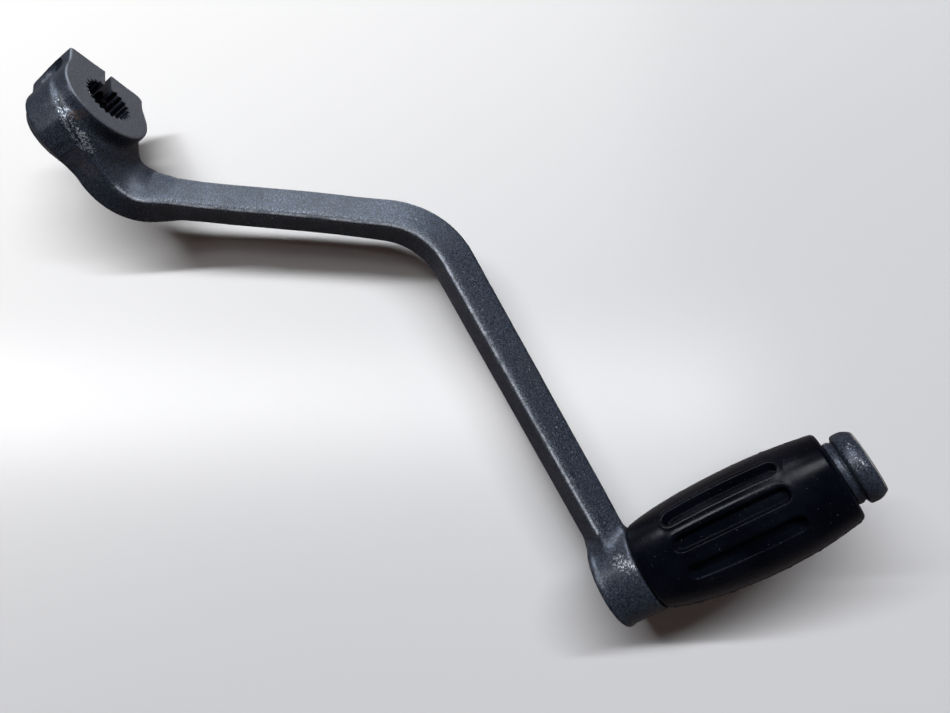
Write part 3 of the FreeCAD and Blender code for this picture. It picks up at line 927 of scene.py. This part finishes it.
def pale_table(ob, contact):
    top = Shader("pale_table")
    # painted light: the table is painted paler toward the upper left of the view, where the
    # lamp's light pools
    toward = VIEW.T @ unit([-0.62, 0.78, 0.0])
    start = float(toward @ contact)
    painted_light_fall = top.ramp(top.vector("DOT_PRODUCT", top.place, tuple(toward), output="Value"),
                    over=(start + 0.02, start + 0.26))
    top.colour = top.mix(painted_light_fall, low=(0.625, 0.630, 0.655), high=(0.88, 0.875, 0.87))
    top.cover(top.ramp(top.noise(scale=3, detail=3, rough=0.5), over=(0.3, 0.7),
                       to=(0.0, 0.06)), colour=(0.50, 0.51, 0.54))
    # painted shade: in reflections the whole table is painted dark and slightly warm, standing
    # in for the shaded table right under the part
    top.cover(top.add("LightPath").outputs["Is Glossy Ray"], colour=(0.115, 0.100, 0.105))
    top.rough = top.mix_value(top.noise(scale=30, detail=4, rough=0.6), low=0.20, high=0.28)
    normal = top.bump(top.noise(scale=700, detail=3, rough=0.6), strength=0.06, dist=0.0002)
    # clear when seen from below
    clear = top.add("BsdfTransparent")
    sided = top.add("MixShader", {0: top.add("NewGeometry").outputs["Backfacing"],
                                  1: top.surface.outputs[0], 2: clear.outputs[0]})
    top.put(top.output.inputs[0], sided.outputs[0])
    top.dress(ob, normal)


contact = contact_point()
floor = table(contact)
pale_table(floor, contact)


# ------------------------------------------------------------------ light
def studio_world():
    """The room fills the shadows a little warm and mirrors a little cool."""
    world = bpy.data.worlds.new("studio")
    world.use_nodes = True
    tree = world.node_tree
    sky = tree.nodes["Background"]
    sky.inputs["Strength"].default_value = 0.050
    path = tree.nodes.new("ShaderNodeLightPath")
    tint = tree.nodes.new("ShaderNodeMix")
    tint.data_type = "RGBA"
    tint.inputs[6].default_value = (1.0, 0.66, 0.54, 1.0)
    tint.inputs[7].default_value = (0.50, 0.68, 1.0, 1.0)
    tree.links.new(path.outputs["Is Glossy Ray"], tint.inputs[0])
    tree.links.new(tint.outputs[2], sky.inputs["Color"])
    bpy.context.scene.world = world


LIGHT_AIM = np.array([90.0, 20.0, 0.0])    # mm


def area(name, toward, dist, size, power, colour, diffuse=False, glossy=True, on=None):
    """Soft box dist metres from the aim; toward is (right, up, to the camera) in the view.

    on lists the only objects it lights.
    """
    direction = VIEW.T @ unit(toward)
    data = bpy.data.lights.new(name, "AREA")
    data.shape = "RECTANGLE"
    data.size, data.size_y = size
    data.energy = power
    data.color = colour
    ob = bpy.data.objects.new(name, data)
    bpy.context.scene.collection.objects.link(ob)
    z = Vector(direction)
    x = Vector(VIEW.T @ np.array([1.0, 0.0, 0.0]))
    x = (x - z * x.dot(z)).normalized()
    matrix = Matrix((x, z.cross(x), z)).transposed().to_4x4()
    matrix.translation = Vector(LIGHT_AIM * MM + direction * dist)
    ob.matrix_world = matrix
    ob.visible_diffuse, ob.visible_glossy = diffuse, glossy
    if on is not None:
        only = bpy.data.collections.new(name + "_lit")
        for item in on:
            only.objects.link(item)
        ob.light_linking.receiver_collection = only


studio_world()
bpy.context.scene.view_settings.view_transform = "Standard"
# one long tube gives the light; the others are only seen as reflections
area("tube", toward=(-0.12, 0.660, 0.748), dist=1.7, size=(2.5, 0.08), power=46.5,
     colour=(0.985, 1.0, 1.005), diffuse=True, glossy=False)
area("tube_on_table", toward=(-0.44, 0.245, 0.951), dist=1.25, size=(1.9, 0.16), power=10.0,
     colour=(1.0, 0.995, 0.99), on=[floor])
area("table_glow", toward=(-0.45, 0.66, 0.78), dist=1.2, size=(1.4, 0.70), power=5.5,
     colour=(0.99, 0.99, 1.0), on=[floor])
area("tube_on_part", toward=(-0.31, 0.52, 0.85), dist=1.25, size=(1.8, 0.09), power=10.5,
     colour=(0.92, 0.96, 1.0), on=[lever, pin])
area("window", toward=(-0.22, 0.80, 0.56), dist=1.2, size=(0.8, 0.30), power=6.0,
     colour=(0.82, 0.91, 1.0), on=[lever, pin])
area("high_window", toward=(-0.10, 0.95, 0.05), dist=1.2, size=(0.9, 0.50), power=9.0,
     colour=(0.80, 0.90, 1.0), on=[lever])
area("far_lamp", toward=(-0.27, 0.80, 0.53), dist=1.2, size=(0.30, 0.34), power=2.3,
     colour=(0.90, 0.94, 1.0), on=[rubber])
area("side_lamp", toward=(-0.62, 0.77, 0.08), dist=1.2, size=(0.80, 0.12), power=4.5,
     colour=(0.88, 0.93, 1.0), on=[rubber])
